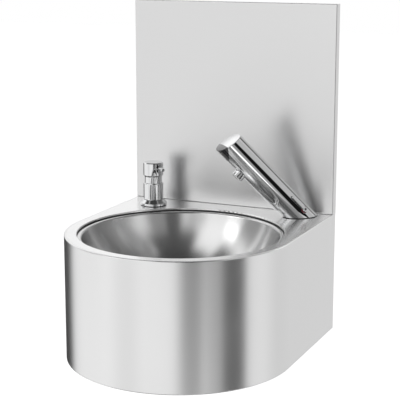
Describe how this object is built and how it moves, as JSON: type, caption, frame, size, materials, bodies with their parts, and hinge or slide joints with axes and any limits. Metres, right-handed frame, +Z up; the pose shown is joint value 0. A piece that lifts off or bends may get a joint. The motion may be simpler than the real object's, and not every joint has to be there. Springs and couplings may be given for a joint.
{
  "type": "hand wash sink",
  "caption": "Wall-hung stainless steel hand wash sink with a D-shaped skirt, a round bowl, a tall backsplash, an inclined sensor mixer tap and a push soap dispenser.",
  "frame": {"origin": "on the wall plane, at the height of the deck's top face, in the middle of the width", "axes": "+X to the right seen from the front, +Y into the wall, +Z up"},
  "size_m": [0.4, 0.4394, 0.6],
  "materials": {
    "satin_steel": "satin brushed stainless sheet",
    "plain_steel": "mill finish steel",
    "chrome": "polished chrome plate",
    "brass": "machined brass",
    "copper_tail": "drawn copper",
    "window_black": "smoked gloss sensor window",
    "dark_plastic": "dark moulded plastic",
    "white_plastic": "white moulded plastic",
    "bottle_plastic": "milky blown plastic",
    "mark_enamel": "red and blue enamel",
    "spring_steel": "ground stainless steel",
    "seal_rubber": "black rubber"
  },
  "bodies": {
    "temperature_lever": {"temperature_lever": "chrome", "lever_badge": "dark_plastic", "cartridge_spindle": "brass"},
    "solenoid_plunger": {"solenoid_plunger": "spring_steel"},
    "pump_ball": {"pump_ball": "spring_steel"},
    "pump_plunger": {"pump_stem": "spring_steel", "pump_piston": "white_plastic"},
    "pump_head": {"pump_head": "chrome", "pump_neck": "chrome", "pump_spout": "chrome", "spout_nozzle": "chrome"},
    "sink": {"basin_skirt": "satin_steel", "basin_deck": "satin_steel", "bowl": "satin_steel", "backsplash": "satin_steel", "splash_rail": "satin_steel", "waste_grid": "satin_steel", "mounting_plate": "plain_steel", "tap_stiffener": "plain_steel", "wall_rail": "plain_steel", "tap_clamp": "plain_steel", "dispenser_washer": "plain_steel", "waste_body": "chrome", "waste_screw": "chrome", "tap_body": "chrome", "tap_cap": "chrome", "aerator_housing": "chrome", "dispenser_flange": "chrome", "dispenser_sleeve": "chrome", "waste_backnut": "brass", "tap_shank": "brass", "tap_nut": "brass", "dispenser_nut": "brass", "hot_tail": "copper_tail", "cold_tail": "copper_tail", "sensor_window": "window_black", "sensor_module": "dark_plastic", "battery_holder": "dark_plastic", "mixing_cartridge": "white_plastic", "solenoid_valve": "white_plastic", "aerator_insert": "white_plastic", "pump_tube": "white_plastic", "dispenser_shank": "white_plastic", "soap_bottle": "bottle_plastic", "dip_tube": "bottle_plastic", "temperature_mark": "mark_enamel", "tap_grub_screw": "spring_steel", "solenoid_spring": "spring_steel", "pump_spring": "spring_steel", "battery": "spring_steel", "waste_top_gasket": "seal_rubber", "waste_bottom_gasket": "seal_rubber", "tap_base_seal": "seal_rubber", "aerator_seal": "seal_rubber", "dispenser_seal": "seal_rubber", "bowl_pad": "seal_rubber"}
  },
  "joints": [
    {"name": "temperature_turn", "type": "hinge", "parent": "sink", "child": "temperature_lever", "pos_m": [0.16201, -0.0635, 0.01683], "axis": [0.8515, -0.4405, 0.2846], "range_deg": [-40, 40]},
    {"name": "solenoid_stroke", "type": "slide", "parent": "sink", "child": "solenoid_plunger", "axis": [-0.4947, -0.4947, 0.7145], "range_m": [0, 0.0015], "stiffness_N_per_m": 300, "springref_m": -0.001, "deforming": ["solenoid_spring"]},
    {"name": "ball_lift", "type": "slide", "parent": "sink", "child": "pump_ball", "axis": [0, 0, 1], "range_m": [0, 0.0015]},
    {"name": "pump_press", "type": "slide", "parent": "sink", "child": "pump_plunger", "axis": [0, 0, -1], "range_m": [0, 0.011], "stiffness_N_per_m": 400, "springref_m": -0.012, "deforming": ["pump_spring"]},
    {"name": "pump_swivel", "type": "hinge", "parent": "pump_plunger", "child": "pump_head", "pos_m": [-0.137, -0.07, 0.06], "axis": [0, 0, 1], "continuous": true}
  ]
}
